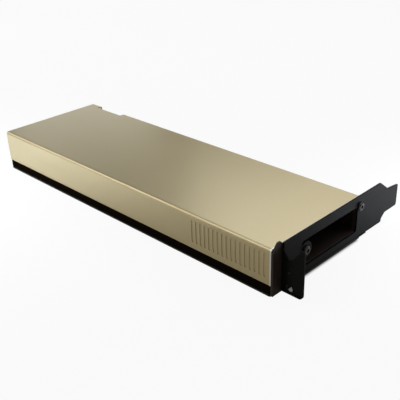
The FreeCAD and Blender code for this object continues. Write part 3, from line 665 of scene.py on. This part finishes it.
def white_floor():
    """Pale floor that reads white to the eye and still takes the card's shadow."""
    material, g = new_graph("white_floor")
    camera_ray = g.add("ShaderNodeLightPath", {}, {}, "Is Camera Ray")
    paint = g.add("ShaderNodeBsdfDiffuse", {}, {"Color": FLOOR_PAINT})
    glow = g.add("ShaderNodeEmission", {}, {"Color": WHITE, "Strength": 1.0})
    low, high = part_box("cover")
    near = low[1] + SHADE_INSET
    along = g.axis(0)
    across = g.axis(1)
    under_card = (along.within(low[0], high[0] + SHADE_PAST_END, SHADE_SOFT)
                  * across.within(near, high[1], SHADE_SOFT))
    by_flange = (along.within(low[0], high[0] + FLANGE_SHADE_PAST_END, FLANGE_SHADE_SOFT_ALONG)
                 * across.within(near, near + FLANGE_SHADE_WIDE, FLANGE_SHADE_SOFT_ACROSS))
    share = FLOOR_WHITE_SHARE * camera_ray * (1.0 - under_card.larger(by_flange))
    g.output(g.add("ShaderNodeMixShader", {}, {0: share, 1: paint, 2: glow}))
    return material


def lay_floor():
    mesh = bpy.data.meshes.new("floor")
    corners = [(-FLOOR_HALF, -FLOOR_HALF, 0), (FLOOR_HALF, -FLOOR_HALF, 0),
               (FLOOR_HALF, FLOOR_HALF, 0), (-FLOOR_HALF, FLOOR_HALF, 0)]
    mesh.from_pydata(corners, [], [(0, 1, 2, 3)])
    floor = bpy.data.objects.new("floor", mesh)
    bpy.context.collection.objects.link(floor)
    floor.location.z = CAD_BOX[0][2] - FLOOR_GAP
    mesh.materials.append(white_floor())


# Light of the room for everything but the camera: a little from all round, and more from a pale wall
# beyond the card's far side, from the front, from overhead and from the upper left. A focus narrows
# its light to its own way.
ROOM_COLOUR = colour(1.0, 0.96, 0.87)
ROOM_LIGHT = 0.06
WALL_LIGHT = 1.05
WALL_FOCUS = 3.0
FRONT_LIGHT = 0.24
OVERHEAD_LIGHT = 0.38
OVERHEAD_FOCUS = 4.0
KEY_LIGHT = 0.75
KEY_FOCUS = 6.0
KEY_WAY = (-0.72, -0.46, 0.52)


def light_world():
    """A warm pale room for light and reflections, and plain white behind the card."""
    world = bpy.data.worlds.new("studio")
    bpy.context.scene.world = world
    g = Graph(world)
    camera_ray = g.add("ShaderNodeLightPath", {}, {}, "Is Camera Ray")
    where = g.add("ShaderNodeTexCoord", {}, {}, "Generated")
    to_wall = g.add("ShaderNodeSeparateXYZ", {}, {0: where}, 1)
    to_front = 0.0 - to_wall
    to_top = g.add("ShaderNodeSeparateXYZ", {}, {0: where}, 2)
    to_key = g.add("ShaderNodeVectorMath", {"operation": "DOT_PRODUCT"},
                   {0: where, 1: KEY_WAY}, "Value")
    light = WALL_LIGHT * to_wall.larger(0.0) ** WALL_FOCUS + ROOM_LIGHT
    light = light + FRONT_LIGHT * to_front.larger(0.0)
    light = light + OVERHEAD_LIGHT * to_top.larger(0.0) ** OVERHEAD_FOCUS
    light = light + KEY_LIGHT * to_key.larger(0.0) ** KEY_FOCUS
    room = g.add("ShaderNodeBackground", {}, {"Color": ROOM_COLOUR, "Strength": light})
    backdrop = g.add("ShaderNodeBackground", {}, {"Color": WHITE, "Strength": 1.0})
    seen = g.add("ShaderNodeMixShader", {}, {0: camera_ray, 1: room, 2: backdrop})
    g.output(seen, "ShaderNodeOutputWorld")


LAMP_COLOUR = (0.93, 1.0, 1.14)

# Three panels light the floor beside the card, which the near wall and the bracket reflect.
LAMPS = (
    # name, place and aim in metres, width, height, power in watts, spread in degrees
    ("floor_panel_tail", (-0.200, -0.130, 0.16), (-0.200, -0.130, 0.0), 0.16, 0.12, 0.118, 100),
    ("floor_panel_middle", (-0.140, -0.140, 0.16), (-0.140, -0.140, 0.0), 0.16, 0.10, 0.120, 100),
    ("low_softbox", (-0.762, 0.440, 0.187), (0.0, 0.0, 0.01), 0.3, 0.3, 0.24, 180),
    ("high_softbox", (-0.212, 0.367, 0.424), (0.0, 0.0, 0.01), 0.3, 0.3, 0.28, 180),
    ("floor_panel_right", (0.180, 0.120, 0.16), (0.180, 0.120, 0.0), 0.12, 0.12, 0.13, 90),
    ("fold_softbox_left", (-0.70, -0.37, 0.42), (-0.05, -0.063, 0.03), 0.25, 0.25, 0.25, 180),
    ("inlet_panel", (-0.70, -0.02, 0.075), (-0.10, 0.0, 0.015), 0.30, 0.10, 0.60, 180),
    ("fold_softbox_over", (-0.20, 0.0, 0.52), (0.10, -0.063, 0.03), 0.20, 0.20, 0.07, 180),
    ("fold_softbox_front", (-0.33, -0.46, 0.54), (0.10, -0.063, 0.03), 0.20, 0.20, 0.20, 180),
)


def hang_lamps():
    for name, place, aim, width, height, power, spread in LAMPS:
        lamp = bpy.data.lights.new(name, "AREA")
        lamp.shape = "RECTANGLE"
        lamp.size = width
        lamp.size_y = height
        lamp.energy = power
        lamp.color = LAMP_COLOUR
        lamp.spread = math.radians(spread)
        holder = bpy.data.objects.new(name, lamp)
        holder.location = place
        holder.rotation_euler = (Vector(aim) - Vector(place)).to_track_quat("-Z", "Y").to_euler()
        bpy.context.collection.objects.link(holder)


# The camera aims at a point on the cover's top, given as shares of its length and width. Angles are
# in degrees, the distance in metres, the lens and sensor in millimetres.
AIM_ALONG = 0.7381
AIM_ACROSS = 0.1934
AZIMUTH = 45.612
ELEVATION = 27.142
ROLL = -2.051
CAMERA_DISTANCE = 0.41624
LENS = 60.964
SENSOR = 36.0
NEAR_CLIP = 0.01


def set_camera():
    """Looks down along the card from beside the bracket."""
    low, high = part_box("cover")
    aim = Vector((low[0] + AIM_ALONG * (high[0] - low[0]),
                  low[1] + AIM_ACROSS * (high[1] - low[1]), high[2]))
    azimuth = math.radians(AZIMUTH)
    elevation = math.radians(ELEVATION)
    back = Vector((math.sin(azimuth) * math.cos(elevation), -math.cos(azimuth) * math.cos(elevation),
                   math.sin(elevation)))
    camera = bpy.data.cameras.new("camera")
    camera.lens = LENS
    camera.sensor_width = SENSOR
    camera.clip_start = NEAR_CLIP
    holder = bpy.data.objects.new("camera", camera)
    level = back.to_track_quat("Z", "Y").to_matrix()
    turn = level @ Matrix.Rotation(math.radians(ROLL), 3, "Z")
    holder.matrix_world = Matrix.Translation(aim + CAMERA_DISTANCE * back) @ turn.to_4x4()
    bpy.context.collection.objects.link(holder)
    bpy.context.scene.camera = holder


def main():
    finish = finishes()
    finish_solids(finish)
    make_screws(finish)
    make_coupling_capacitors()
    lay_floor()
    light_world()
    hang_lamps()
    set_camera()
    bpy.context.scene.view_settings.view_transform = "Standard"


main()

bpy.context.view_layer.update()
